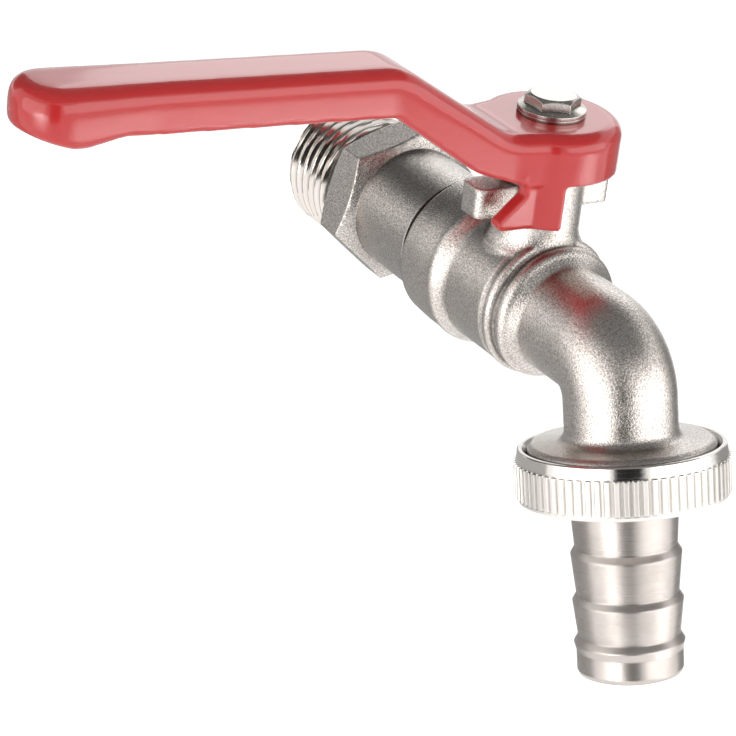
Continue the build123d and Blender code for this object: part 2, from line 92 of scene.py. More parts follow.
# %% [markdown]
# Several pieces share the same marks of making: grain, lathe rings, rubbed corners, dark gaps. Their
# nodes could be copied into each material, but a change would then have to be made many times. So each
# is a node group: a small network with named inputs, built once. A group here only puts out numbers
# that change over the surface, and each material feeds them to its own shader. Two helpers come first:
# one makes an empty group, the other works out one value from two.

# %% Helpers: an empty node group with named sockets, and a value worked out from two
def new_group(name, inputs, outputs):
    group = bpy.data.node_groups.new(name, "ShaderNodeTree")
    for label, kind, default in inputs:
        socket = group.interface.new_socket(name=label, in_out="INPUT", socket_type=kind)
        socket.default_value = default
    for label in outputs:
        group.interface.new_socket(name=label, in_out="OUTPUT", socket_type="NodeSocketFloat")
    entry = group.nodes.new("NodeGroupInput")
    leave = group.nodes.new("NodeGroupOutput")
    return group, entry, leave


def math_node(tree, operation, first, second):
    node = tree.nodes.new("ShaderNodeMath")
    node.operation = operation
    for socket, value in zip(node.inputs, (first, second)):
        if isinstance(value, (int, float)):
            socket.default_value = value
        else:
            tree.links.new(value, socket)
    return node.outputs[0]


print("Helpers made: new_group, math_node")

# %% [markdown]
# The pressed body was blasted with shot before it was plated, so its skin is full of fine pits that
# glitter at the border of each reflection. A displaced mesh would need millions of faces for pits a
# quarter of a millimetre wide, so they are noise. A second, broad noise is the unevenness of the
# blasting.

# %% Blasted grain: fine pits, and broader patches
PIT_DETAIL = 3.0
PIT_HARSHNESS = 0.65
PATCH_SCALE = 220.0
grain_group, grain_in, grain_out = new_group(
    "blasted_grain", [("Scale", "NodeSocketFloat", 3000.0)], ["Pits", "Patches"]
)
grain_place = grain_group.nodes.new("ShaderNodeTexCoord")
pits = grain_group.nodes.new("ShaderNodeTexNoise")
pits.inputs["Detail"].default_value = PIT_DETAIL
pits.inputs["Roughness"].default_value = PIT_HARSHNESS
grain_group.links.new(grain_place.outputs["Object"], pits.inputs["Vector"])
grain_group.links.new(grain_in.outputs["Scale"], pits.inputs["Scale"])
grain_group.links.new(pits.outputs["Fac"], grain_out.inputs["Pits"])
patches = grain_group.nodes.new("ShaderNodeTexNoise")
patches.inputs["Scale"].default_value = PATCH_SCALE
grain_group.links.new(grain_place.outputs["Object"], patches.inputs["Vector"])
grain_group.links.new(patches.outputs["Fac"], grain_out.inputs["Patches"])
print("Node group:", grain_group.name)

# %% [markdown]
# A lathe leaves fine rings round the axis it turned about. A wave texture would repeat too evenly,
# so the rings are noise in one dimension, read along that axis: they run right round the piece,
# whatever its shape. The group also gives the place along the axis, to change a finish part way.

# %% Turning lines: one-dimensional noise along an axis, and the place along it
lines_group, lines_in, lines_out = new_group(
    "turning_lines",
    [
        ("Axis Point", "NodeSocketVector", (0.0, 0.0, 0.0)),
        ("Axis Direction", "NodeSocketVector", (0.0, 1.0, 0.0)),
        ("Lines per Metre", "NodeSocketFloat", 9000.0),
    ],
    ["Lines", "Along"],
)
lines_place = lines_group.nodes.new("ShaderNodeTexCoord")
from_point = lines_group.nodes.new("ShaderNodeVectorMath")
from_point.operation = "SUBTRACT"
lines_group.links.new(lines_place.outputs["Object"], from_point.inputs[0])
lines_group.links.new(lines_in.outputs["Axis Point"], from_point.inputs[1])
along = lines_group.nodes.new("ShaderNodeVectorMath")
along.operation = "DOT_PRODUCT"
lines_group.links.new(from_point.outputs["Vector"], along.inputs[0])
lines_group.links.new(lines_in.outputs["Axis Direction"], along.inputs[1])
line_noise = lines_group.nodes.new("ShaderNodeTexNoise")
line_noise.noise_dimensions = "1D"
lines_group.links.new(along.outputs["Value"], line_noise.inputs["W"])
lines_group.links.new(lines_in.outputs["Lines per Metre"], line_noise.inputs["Scale"])
lines_group.links.new(line_noise.outputs["Fac"], lines_out.inputs["Lines"])
lines_group.links.new(along.outputs["Value"], lines_out.inputs["Along"])
print("Node group:", lines_group.name)

# %% [markdown]
# Handling rubs the corners of a piece brighter. Painting a mask by hand would need an unwrapped mesh.
# Instead, where a rounded normal differs from the true one there is a corner, so their difference is
# the mask, broken up by noise.

# %% Edge wear: a mask along the corners
WEAR_SCALE = 600.0
wear_group, wear_in, wear_out = new_group(
    "edge_wear",
    [("Width", "NodeSocketFloat", 0.3 * MM), ("Amount", "NodeSocketFloat", 4.0)],
    ["Wear"],
)
rounded = wear_group.nodes.new("ShaderNodeBevel")
wear_group.links.new(wear_in.outputs["Width"], rounded.inputs["Radius"])
true_normal = wear_group.nodes.new("ShaderNodeNewGeometry")
agreement = wear_group.nodes.new("ShaderNodeVectorMath")
agreement.operation = "DOT_PRODUCT"
wear_group.links.new(rounded.outputs["Normal"], agreement.inputs[0])
wear_group.links.new(true_normal.outputs["Normal"], agreement.inputs[1])
corner = math_node(wear_group, "SUBTRACT", 1.0, agreement.outputs["Value"])
wear_place = wear_group.nodes.new("ShaderNodeTexCoord")
wear_noise = wear_group.nodes.new("ShaderNodeTexNoise")
wear_noise.inputs["Scale"].default_value = WEAR_SCALE
wear_group.links.new(wear_place.outputs["Object"], wear_noise.inputs["Vector"])
broken = math_node(wear_group, "MULTIPLY", corner, wear_noise.outputs["Fac"])
scaled = math_node(wear_group, "MULTIPLY", broken, wear_in.outputs["Amount"])
limited = math_node(wear_group, "MINIMUM", scaled, 1.0)
wear_group.links.new(limited, wear_out.inputs["Wear"])
print("Node group:", wear_group.name)

# %% [markdown]
# Little light reaches deep into a gap, so the seams of the tap read as dark lines. This is painted
# shade. Ambient occlusion tells how much of the surroundings a point can see within a distance, so it
# is a mask for the gaps between pieces, and the colours below are darkened by it.

# %% Painted gap shade: dark in a gap, white in the open
GAP_SHADE_DEPTH = 1.6
GAP_SHADE_SAMPLES = 8
gap_shade_group, gap_shade_in, gap_shade_out = new_group(
    "painted_gap_shade", [("Distance", "NodeSocketFloat", 1.0 * MM)], ["Shade"]
)
openness = gap_shade_group.nodes.new("ShaderNodeAmbientOcclusion")
openness.samples = GAP_SHADE_SAMPLES
gap_shade_group.links.new(gap_shade_in.outputs["Distance"], openness.inputs["Distance"])
deepened = math_node(gap_shade_group, "POWER", openness.outputs["AO"], GAP_SHADE_DEPTH)
gap_shade_group.links.new(deepened, gap_shade_out.inputs["Shade"])
print("Node group:", gap_shade_group.name)

# %% [markdown]
# Each finish below is one material: a shader with its own plain colour, roughness and metal value,
# and the shared groups on top. These helpers keep every material short: a new material, a group in
# it, a value or a colour spread over a mask, a colour with painted shade in its gaps, and a relief
# whose heights are in metres, so a grain 0.06 mm deep reads as such.

# %% Helpers: a material with its shader, and a group in it
def new_material(name, colour, roughness, metallic):
    material = bpy.data.materials.new(name)
    material.use_nodes = True
    shader = material.node_tree.nodes["Principled BSDF"]
    shader.inputs["Base Color"].default_value = (*colour, 1.0)
    shader.inputs["Roughness"].default_value = roughness
    shader.inputs["Metallic"].default_value = metallic
    return material, material.node_tree, shader


def add_group(tree, group, **values):
    node = tree.nodes.new("ShaderNodeGroup")
    node.node_tree = group
    for label, value in values.items():
        node.inputs[label.replace("_", " ")].default_value = value
    return node


print("Helpers made: new_material, add_group")

# %% Helpers: a value that follows a mask, and a colour that does
def spread(tree, source, low, high, start=0.3, stop=0.7):
    node = tree.nodes.new("ShaderNodeMapRange")
    node.inputs["From Min"].default_value = start
    node.inputs["From Max"].default_value = stop
    node.inputs["To Min"].default_value = low
    node.inputs["To Max"].default_value = high
    tree.links.new(source, node.inputs["Value"])
    return node.outputs["Result"]


def two_colours(tree, source, low, high, start=0.3, stop=0.7):
    node = tree.nodes.new("ShaderNodeValToRGB")
    node.color_ramp.elements[0].position = start
    node.color_ramp.elements[0].color = (*low, 1.0)
    node.color_ramp.elements[1].position = stop
    node.color_ramp.elements[1].color = (*high, 1.0)
    tree.links.new(source, node.inputs["Fac"])
    return node.outputs["Color"]


print("Helpers made: spread, two_colours")

# %% Helpers: a colour with painted shade in the gaps, and a relief over softened corners
MIX_FIRST_COLOUR = 6
MIX_SECOND_COLOUR = 7
MIX_COLOUR_RESULT = 2
CORNER_SAMPLES = 6


# Painted shade: the colour is multiplied by the gap shade mask, so gaps and seams render darker.
def with_painted_gap_shade(tree, colour, distance):
    painted_gap_shade = add_group(tree, gap_shade_group, Distance=distance)
    node = tree.nodes.new("ShaderNodeMix")
    node.data_type = "RGBA"
    node.blend_type = "MULTIPLY"
    node.inputs["Factor"].default_value = 1.0
    tree.links.new(colour, node.inputs[MIX_FIRST_COLOUR])
    tree.links.new(painted_gap_shade.outputs["Shade"], node.inputs[MIX_SECOND_COLOUR])
    return node.outputs[MIX_COLOUR_RESULT]


def relief(tree, shader, source, depth, edge=0.0):
    bump = tree.nodes.new("ShaderNodeBump")
    bump.inputs["Distance"].default_value = depth
    tree.links.new(source, bump.inputs["Height"])
    if edge:
        soft = tree.nodes.new("ShaderNodeBevel")
        soft.samples = CORNER_SAMPLES
        soft.inputs["Radius"].default_value = edge
        tree.links.new(soft.outputs["Normal"], bump.inputs["Normal"])
    tree.links.new(bump.outputs["Normal"], shader.inputs["Normal"])


print("Helpers made: darkened, relief")

# %% [markdown]
# The body is pressed brass, blasted and then nickel plated: a warm grey metal, fairly glossy between
# its pits. Roughness alone would make it evenly dull, so the pits change its colour and its relief
# instead, and only the patches change its roughness. Pressed corners are never sharp, so the relief
# starts from corners softened by almost a millimetre.

# %% Blasted nickel plating, for the pressed body
blasted, tree, shader = new_material("blasted_plating", (0.66, 0.60, 0.55), roughness=0.18, metallic=1.0)
grain = add_group(tree, grain_group, Scale=4200.0)
speckle = two_colours(
    tree, grain.outputs["Pits"], low=(0.38, 0.34, 0.31), high=(0.82, 0.765, 0.715), start=0.34, stop=0.62
)
# Painted shade: the speckled colour is darkened in the gaps round the body.
tree.links.new(with_painted_gap_shade(tree, speckle, distance=1.2 * MM), shader.inputs["Base Color"])
tree.links.new(spread(tree, grain.outputs["Patches"], low=0.13, high=0.22), shader.inputs["Roughness"])
relief(tree, shader, grain.outputs["Pits"], depth=0.06 * MM, edge=0.9 * MM)
print("Material:", blasted.name)

# %% [markdown]
# The connector is turned from hexagon bar and plated with the body. Its hexagon and spigot carry a
# finer, darker speckle than the body. The body's material could be stretched to do both, but the two
# meet at a seam, so they have a material of their own with the same groups and other values.

# %% Speckled plating, for the connector's hexagon and spigot
speckled, tree, shader = new_material("speckled_plating", (0.66, 0.60, 0.55), roughness=0.18, metallic=1.0)
grain = add_group(tree, grain_group, Scale=5200.0)
speckle = two_colours(
    tree, grain.outputs["Pits"], low=(0.24, 0.215, 0.195), high=(0.86, 0.80, 0.75), start=0.34, stop=0.64
)
# Painted shade: the colour is darkened over 4 mm, which draws the dark seam at the body's rim.
tree.links.new(with_painted_gap_shade(tree, speckle, distance=4.0 * MM), shader.inputs["Base Color"])
tree.links.new(spread(tree, grain.outputs["Patches"], low=0.12, high=0.20), shader.inputs["Roughness"])
relief(tree, shader, grain.outputs["Pits"], depth=0.05 * MM, edge=0.3 * MM)
print("Material:", speckled.name)

# %% [markdown]
# The inlet thread is cut, not blasted, so it is the brightest metal of the tap: bright crests, dark
# roots, and faint tool marks that follow the cut. Grain would break up the narrow crests, so only the
# turning lines are used, and painted shade darkens the roots.

# %% Bright turned plating, for the inlet thread
turned, tree, shader = new_material("turned_plating", (0.74, 0.69, 0.64), roughness=0.14, metallic=1.0)
lines = add_group(tree, lines_group, Axis_Point=(0.0, 0.0, 0.0), Axis_Direction=(0.0, 1.0, 0.0))
shade = two_colours(tree, lines.outputs["Lines"], low=(0.70, 0.65, 0.60), high=(0.80, 0.75, 0.70))
# Painted shade: the colour is darkened in the thread's roots.
tree.links.new(with_painted_gap_shade(tree, shade, distance=0.9 * MM), shader.inputs["Base Color"])
tree.links.new(spread(tree, lines.outputs["Lines"], low=0.10, high=0.18), shader.inputs["Roughness"])
relief(tree, shader, lines.outputs["Lines"], depth=0.005 * MM)
print("Material:", turned.name)

# %% [markdown]
# The union nut has a polished rim that mirrors the studio in sharp bands. Below it the ribs were
# rolled, which leaves them matt. Two materials would mean sorting the faces of a CAD mesh, which stays
# as it is. One does both: its roughness follows the place along the spout axis and steps up where the
# ribs start.

# %% Nut plating: a bright rim over the duller rolled ribs
NUT_RIM_BOTTOM = 13.9 * MM
NUT_RIBS_TOP = NUT_RIM_BOTTOM + 0.3 * MM
nut_plating, tree, shader = new_material("nut_plating", (0.82, 0.775, 0.73), roughness=0.18, metallic=1.0)
lines = add_group(
    tree, lines_group, Axis_Point=SPOUT_CORNER, Axis_Direction=SPOUT_DIRECTION, Lines_per_Metre=12000.0
)
wear = add_group(tree, wear_group, Width=0.3 * MM, Amount=4.0)
worn = two_colours(
    tree, wear.outputs["Wear"], low=(0.88, 0.835, 0.79), high=(0.95, 0.915, 0.88), start=0.0, stop=0.6
)
# Painted shade: the colour is darkened in the gaps round the nut.
tree.links.new(with_painted_gap_shade(tree, worn, distance=0.4 * MM), shader.inputs["Base Color"])
duller = spread(
    tree, lines.outputs["Along"], low=0.12, high=0.45, start=NUT_RIM_BOTTOM, stop=NUT_RIBS_TOP
)
tree.links.new(duller, shader.inputs["Roughness"])
relief(tree, shader, lines.outputs["Lines"], depth=0.01 * MM, edge=0.15 * MM)
print("Material:", nut_plating.name)

# %% [markdown]
# The hose tail was tumbled rather than polished: an even satin that shows light and dark only as
# broad soft bands. An anisotropic shader could smear them along the rings, but the real bands are
# even, so a plain roughness does it, and the rings of the lathe change it only a little.

# %% Satin plating, for the hose tail
satin, tree, shader = new_material("satin_plating", (0.56, 0.51, 0.475), roughness=0.30, metallic=1.0)
lines = add_group(
    tree, lines_group, Axis_Point=SPOUT_CORNER, Axis_Direction=SPOUT_DIRECTION, Lines_per_Metre=5000.0
)
grain = add_group(tree, grain_group, Scale=2600.0)
shade = two_colours(tree, grain.outputs["Patches"], low=(0.52, 0.47, 0.435), high=(0.60, 0.55, 0.515))
# Painted shade: the colour is darkened in the gaps round the hose tail.
tree.links.new(with_painted_gap_shade(tree, shade, distance=1.2 * MM), shader.inputs["Base Color"])
tree.links.new(spread(tree, lines.outputs["Lines"], low=0.27, high=0.33), shader.inputs["Roughness"])
relief(tree, shader, grain.outputs["Pits"], depth=0.01 * MM, edge=0.4 * MM)
print("Material:", satin.name)

# %% [markdown]
# The lever is steel dipped in red enamel. Enamel is a coloured layer under a glassy surface. Two
# shaders could be mixed for that, but the Principled shader has a coat of its own: the coat is the
# gloss, and the base is the colour. The surface is not quite flat, which painters call orange peel.

# %% Red enamel, for the lever
FLOW_SCALE = 260.0
PEEL_SCALE = 700.0
enamel, tree, shader = new_material("red_enamel", (0.56, 0.026, 0.026), roughness=0.30, metallic=0.0)
shader.inputs["Specular IOR Level"].default_value = 0.2
shader.inputs["Coat Weight"].default_value = 1.0
shader.inputs["Coat Roughness"].default_value = 0.10
place = tree.nodes.new("ShaderNodeTexCoord")
flow = tree.nodes.new("ShaderNodeTexNoise")
flow.inputs["Scale"].default_value = FLOW_SCALE
tree.links.new(place.outputs["Object"], flow.inputs["Vector"])
peel = tree.nodes.new("ShaderNodeTexNoise")
peel.inputs["Scale"].default_value = PEEL_SCALE
tree.links.new(place.outputs["Object"], peel.inputs["Vector"])
tone = two_colours(
    tree, flow.outputs["Fac"], low=(0.54, 0.024, 0.024), high=(0.58, 0.028, 0.028), start=0.0, stop=1.0
)
tree.links.new(tone, shader.inputs["Base Color"])
gloss = spread(tree, flow.outputs["Fac"], low=0.27, high=0.33, start=0.0, stop=1.0)
tree.links.new(gloss, shader.inputs["Roughness"])
relief(tree, shader, peel.outputs["Fac"], depth=0.01 * MM, edge=0.8 * MM)
print("Material:", enamel.name)

# %% [markdown]
# The screw and its washer are zinc-plated steel, a little darker and greyer than the nickel. Spanners
# have brightened the corners, which the edge wear shows better than a second, brighter material would.

# %% Zinc-plated steel, for the screw and its washer
zinc, tree, shader = new_material("zinc_steel", (0.64, 0.61, 0.57), roughness=0.20, metallic=1.0)
grain = add_group(tree, grain_group, Scale=1800.0)
wear = add_group(tree, wear_group, Width=0.2 * MM, Amount=4.0)
worn = two_colours(
    tree, wear.outputs["Wear"], low=(0.60, 0.57, 0.53), high=(0.84, 0.81, 0.77), start=0.0, stop=0.6
)
# Painted shade: the colour is darkened in the gaps round the screw and its washer.
tree.links.new(with_painted_gap_shade(tree, worn, distance=0.6 * MM), shader.inputs["Base Color"])
tree.links.new(spread(tree, grain.outputs["Pits"], low=0.16, high=0.28), shader.inputs["Roughness"])
relief(tree, shader, grain.outputs["Pits"], depth=0.01 * MM, edge=0.2 * MM)
print("Material:", zinc.name)

# %% [markdown]
# Inside the tap there are four more materials, which show when the pieces are taken apart. The stem is
# bare brass, turned about the stem's axis and never plated, so it is yellow, with the same lines as the
# other turned pieces but along another axis.

# %% Turned brass, for the stem
brass, tree, shader = new_material("stem_brass", (0.72, 0.50, 0.22), roughness=0.26, metallic=1.0)
lines = add_group(tree, lines_group, Axis_Point=(0.0, STEM_Y, 0.0), Axis_Direction=(0.0, 0.0, 1.0))
shade = two_colours(tree, lines.outputs["Lines"], low=(0.66, 0.45, 0.19), high=(0.76, 0.54, 0.25))
tree.links.new(shade, shader.inputs["Base Color"])
tree.links.new(spread(tree, lines.outputs["Lines"], low=0.22, high=0.32), shader.inputs["Roughness"])
relief(tree, shader, lines.outputs["Lines"], depth=0.005 * MM, edge=0.2 * MM)
print("Material:", brass.name)

# %% [markdown]
# The ball seals only if it is very smooth, so it is hard chrome over brass: a mirror. A perfect mirror
# would look unreal, so the patches make it a trace duller here and there.

# %% Chrome, for the ball
chrome, tree, shader = new_material("ball_chrome", (0.84, 0.84, 0.83), roughness=0.06, metallic=1.0)
grain = add_group(tree, grain_group, Scale=900.0)
shade = two_colours(tree, grain.outputs["Patches"], low=(0.80, 0.80, 0.79), high=(0.87, 0.87, 0.86))
tree.links.new(shade, shader.inputs["Base Color"])
tree.links.new(spread(tree, grain.outputs["Patches"], low=0.04, high=0.10), shader.inputs["Roughness"])
relief(tree, shader, grain.outputs["Pits"], depth=0.002 * MM, edge=0.2 * MM)
print("Material:", chrome.name)

# %% [markdown]
# The seats and the thrust washer are white fluoroplastic, waxy and dull. Light goes a little way into
# it, but on rings this thin that can't be seen, so a plain matt white is enough.

# %% White fluoroplastic, for the seats and the thrust washer
plastic, tree, shader = new_material("seat_plastic", (0.86, 0.86, 0.84), roughness=0.42, metallic=0.0)
grain = add_group(tree, grain_group, Scale=1500.0)
shade = two_colours(tree, grain.outputs["Patches"], low=(0.82, 0.82, 0.80), high=(0.89, 0.89, 0.87))
tree.links.new(shade, shader.inputs["Base Color"])
tree.links.new(spread(tree, grain.outputs["Patches"], low=0.38, high=0.46), shader.inputs["Roughness"])
relief(tree, shader, grain.outputs["Pits"], depth=0.02 * MM, edge=0.2 * MM)
print("Material:", plastic.name)

# %% [markdown]
# The seals are black moulded rubber, nearly without gloss. Pure black would swallow their shape, so the
# colour stays a little above it and the grain breaks up what gloss there is.

# %% Black rubber, for the stem's rings and the gasket
rubber, tree, shader = new_material("seal_rubber", (0.018, 0.018, 0.019), roughness=0.62, metallic=0.0)
grain = add_group(tree, grain_group, Scale=2200.0)
shade = two_colours(tree, grain.outputs["Patches"], low=(0.015, 0.015, 0.016), high=(0.023, 0.023, 0.024))
tree.links.new(shade, shader.inputs["Base Color"])
tree.links.new(spread(tree, grain.outputs["Pits"], low=0.55, high=0.70), shader.inputs["Roughness"])
relief(tree, shader, grain.outputs["Pits"], depth=0.03 * MM, edge=0.2 * MM)
print("Materials in all:", len(bpy.data.materials))

# %% [markdown]
# The CAD connector ends in a plain cylinder at the height of the thread's crests. Here it is made
# again with the thread cut. A Screw modifier can wind one tooth into a helix, but its ends then need
# trimming. It is simpler to give every point of the outside a radius that depends on the angle and
# on the place along the axis: a helix in the thread, six flats in the hexagon, then a round spigot.

# %% Radius of the thread at an angle and a place
THREAD_CREST = 10.4775 * MM
THREAD_DEPTH = 1.16 * MM
THREAD_PITCH = 1.814 * MM
THREAD_END = 13.6 * MM
THREAD_CHAMFER = 0.9 * MM
THREAD_RELIEF = 1.0 * MM
THREAD_RUN_IN = 0.6 * THREAD_PITCH
ROOT_SHARE = 0.12
FLANK_SHARE = 0.76


def share(value, start, stop):
    return min(max((value - start) / (stop - start), 0.0), 1.0)


def thread_radius(angle, place):
    turn = (place / THREAD_PITCH - angle / (2 * pi)) % 1.0
    from_root = abs(2 * turn - 1)
    crest = share(from_root, ROOT_SHARE, ROOT_SHARE + FLANK_SHARE)
    run_in = share(place, THREAD_RELIEF, THREAD_RELIEF + THREAD_RUN_IN)
    cut = THREAD_CREST - THREAD_DEPTH * (1 - crest * run_in)
    chamfer = THREAD_CREST - max(place - (THREAD_END - THREAD_CHAMFER), 0.0)
    return min(cut, chamfer)


print("Turns of the thread:", round((THREAD_END - THREAD_RELIEF) / THREAD_PITCH, 1))

# %% Radius of the hexagon at an angle and a place
SPIGOT_RADIUS = 9.65 * MM
HEXAGON_APOTHEM = 10.9 * MM
HEXAGON_TURN = radians(17)
HEXAGON_BACK = -6.8 * MM
HEXAGON_FACE_RADIUS = 11.25 * MM
HEXAGON_FRONT_SLOPE = 2.03
HEXAGON_BACK_SLOPE = 1.91


def hexagon_radius(angle, place):
    from_flat = (angle - HEXAGON_TURN) % (pi / 3) - pi / 6
    flat = HEXAGON_APOTHEM / cos(from_flat)
    front_cone = HEXAGON_FACE_RADIUS - HEXAGON_FRONT_SLOPE * place
    back_cone = SPIGOT_RADIUS + HEXAGON_BACK_SLOPE * (place - HEXAGON_BACK)
    return min(flat, front_cone, back_cone)


print("Hexagon across its flats, mm:", round(2 * HEXAGON_APOTHEM / MM, 1))

# %% Rings of points: one from a rule for the radius, one plain round
ROUND_STEPS = 192


def ring(place, radius_at):
    points = []
    for step in range(ROUND_STEPS):
        angle = HEXAGON_TURN + 2 * pi * step / ROUND_STEPS
        radius = radius_at(angle, place)
        points.append((radius * cos(angle), place, radius * sin(angle)))
    return points


def round_ring(place, radius):
    return ring(place, lambda angle, along: radius)


def even_places(first, last, count):
    return [first + (last - first) * step / count for step in range(count + 1)]


print("Points in each ring:", ROUND_STEPS)

# %% Helper: a tube of rings that closes on itself
SHARP_ANGLE = radians(28)


def ring_mesh(name, rings):
    vertices = [point for row in rings for point in row]
    faces = []
    for row in range(len(rings)):
        start = row * ROUND_STEPS
        following = (row + 1) % len(rings) * ROUND_STEPS
        for step in range(ROUND_STEPS):
            beside = (step + 1) % ROUND_STEPS
            faces.append((start + step, start + beside, following + beside, following + step))
    mesh = bpy.data.meshes.new(name)
    mesh.from_pydata(vertices, [], faces)
    mesh.shade_smooth()
    mesh.set_sharp_from_angle(angle=SHARP_ANGLE)
    piece = bpy.data.objects.new(name, mesh)
    scene.collection.objects.link(piece)
    return piece


print("Helper made: ring_mesh")

# %% [markdown]
# The rings run from the thread's end inwards over the hexagon and the spigot. A relief groove lies
# where the spigot enters the body and shows as a dark seam, which the speckled plating's painted shade
# deepens. Then the rings go back out along the bore, so the tube is closed with no cap to add.

# %% Outside of the connector, from the thread inwards
THREAD_STEPS = 96
HEXAGON_STEPS = 34
SPIGOT_END = STEM_Y + 6.334 * MM
SPIGOT_BREAK = 0.4 * MM
BODY_RIM = STEM_Y + 16.6 * MM
GROOVE_DEPTH = 0.7 * MM
GROOVE_RADIUS = SPIGOT_RADIUS - GROOVE_DEPTH
GROOVE_FRONT = BODY_RIM + 2.2 * MM
GROOVE_BACK = BODY_RIM - 0.4 * MM
connector_rings = [ring(place, thread_radius) for place in even_places(THREAD_END, 0.0, THREAD_STEPS)]
thread_rows = len(connector_rings) - 1
for place in even_places(0.0, HEXAGON_BACK, HEXAGON_STEPS):
    connector_rings.append(ring(place, hexagon_radius))
connector_rings.append(round_ring(GROOVE_FRONT, SPIGOT_RADIUS))
connector_rings.append(round_ring(GROOVE_FRONT - GROOVE_DEPTH / 2, GROOVE_RADIUS))
connector_rings.append(round_ring(GROOVE_BACK, GROOVE_RADIUS))
connector_rings.append(round_ring(GROOVE_BACK - GROOVE_DEPTH, SPIGOT_RADIUS))
connector_rings.append(round_ring(SPIGOT_END + SPIGOT_BREAK, SPIGOT_RADIUS))
connector_rings.append(round_ring(SPIGOT_END, SPIGOT_RADIUS - SPIGOT_BREAK))
outside_rows = len(connector_rings) - 1
print("Rings on the outside:", len(connector_rings))

# %% Bore of the connector, back out to the thread's end
BORE_RADIUS = 7.2 * MM
WATERWAY_RADIUS = 5.3 * MM
CONE_START = SPIGOT_END + 6.0 * MM
CONE_END = SPIGOT_END + 12.0 * MM
connector_rings.append(round_ring(SPIGOT_END, WATERWAY_RADIUS))
connector_rings.append(round_ring(CONE_START, WATERWAY_RADIUS))
connector_rings.append(round_ring(CONE_END, BORE_RADIUS))
connector_rings.append(round_ring(THREAD_END, BORE_RADIUS))
connector = ring_mesh("threaded_connector", connector_rings)
print("Connector faces:", len(connector.data.polygons))

# %% Finishes of the connector: bright thread and bore, speckled hexagon and spigot
SPECKLED_SLOT = 1
connector.data.materials.append(turned)
connector.data.materials.append(speckled)
for face in connector.data.polygons:
    if thread_rows <= face.index // ROUND_STEPS < outside_rows:
        face.material_index = SPECKLED_SLOT
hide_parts("inlet_connector")
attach(connector, "valve_body")
print("Connector materials:", len(connector.data.materials))

# %% [markdown]
# The enamel is thick. Where it ran round a corner it left a much softer form than the steel below,
# most of all at the end of the grip. A bevel would need every edge picked. It is simpler to lay an
# even skin of small faces over a copy of the lever, and to let a Smooth modifier relax it where a
# vertex group says so: not on the hub, where the screw's washer needs its flat seat, and little on
# the thin lower rim, which would shrink.

# %% An even skin over a copy of the lever
SKIN_FACE = 0.3 * MM
lever_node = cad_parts["lever"]
skin_mesh = lever_node.data.copy()
skin_mesh.transform(lever_node.matrix_world)
skin = bpy.data.objects.new("enamelled_lever", skin_mesh)
scene.collection.objects.link(skin)


def apply_modifiers(obj):
    graph = bpy.context.evaluated_depsgraph_get()
    result = bpy.data.meshes.new_from_object(obj.evaluated_get(graph))
    obj.modifiers.clear()
    obj.data = result


even_skin = skin.modifiers.new("even_skin", "REMESH")
even_skin.mode = "VOXEL"
even_skin.voxel_size = SKIN_FACE
apply_modifiers(skin)
print("Faces of the skin:", len(skin.data.polygons))

# %% How soft the enamel is at a point: along the grip, and at its end
HUB_PLACE = -8.0 * MM
GRIP_PLACE = -22.0 * MM
END_START = -66.0 * MM
END_FULL = -77.0 * MM
LEVER_RIM_HEIGHT = 28.2 * MM
LEVER_RIM_RISE = 0.07
LEVER_RIM_DEPTH = 5.0 * MM
LEVER_RIM_SOFTNESS = 0.15


def grip_softness(point):
    above_rim = point.z - (LEVER_RIM_HEIGHT + LEVER_RIM_RISE * -point.x)
    off_rim = max(share(above_rim, 0.0, LEVER_RIM_DEPTH), LEVER_RIM_SOFTNESS)
    return share(point.x, HUB_PLACE, GRIP_PLACE) * off_rim


def end_softness(point):
    return share(point.x, END_START, END_FULL)


print("Length over which the end grows soft, mm:", round((END_START - END_FULL) / MM, 1))

# %% Relax the skin: the whole grip a little, its end much more
RELAX_FACTOR = 0.5
GRIP_STEPS = 40
END_STEPS = 60


def relax(obj, softness_at, steps):
    weights = obj.vertex_groups.new(name="softness")
    for vertex in obj.data.vertices:
        weights.add([vertex.index], softness_at(vertex.co), "REPLACE")
    smooth = obj.modifiers.new("relax", "SMOOTH")
    smooth.factor = RELAX_FACTOR
    smooth.iterations = steps
    smooth.vertex_group = weights.name
    apply_modifiers(obj)
    obj.vertex_groups.clear()


relax(skin, grip_softness, GRIP_STEPS)
relax(skin, end_softness, END_STEPS)
skin.data.shade_smooth()
skin.data.materials.clear()
skin.data.materials.append(enamel)
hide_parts("lever")
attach(skin, "handle")
print("Lever relaxed:", skin.name)

# %% [markdown]
# Every other piece is a CAD solid whose shape is right as it is. It could be copied too, but it only
# needs its finish, so its own material is taken off and the new one put on. The mesh isn't touched.

# %% Give the CAD solids their finishes
FINISHES = {
    "body": blasted,
    "union_nut": nut_plating,
    "hose_tail": satin,
    "lever_screw": zinc,
    "screw_washer": zinc,
    "stem": brass,
    "ball": chrome,
    "inlet_seat": plastic,
    "outlet_seat": plastic,
    "thrust_washer": plastic,
    "lower_stem_ring": rubber,
    "upper_stem_ring": rubber,
    "tail_gasket": rubber,
}
for node_name, finish in FINISHES.items():
    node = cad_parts[node_name]
    node.data.materials.clear()
    node.data.materials.append(finish)
print("Nodes with a finish:", len(FINISHES))

# %% [markdown]
# The studio starts with a wide white floor. Light alone would leave it grey or would burn out the
# tap, so its paper gives off a little light of its own, but only to rays that look at it: from the
# camera, or by way of a mirror or glass.

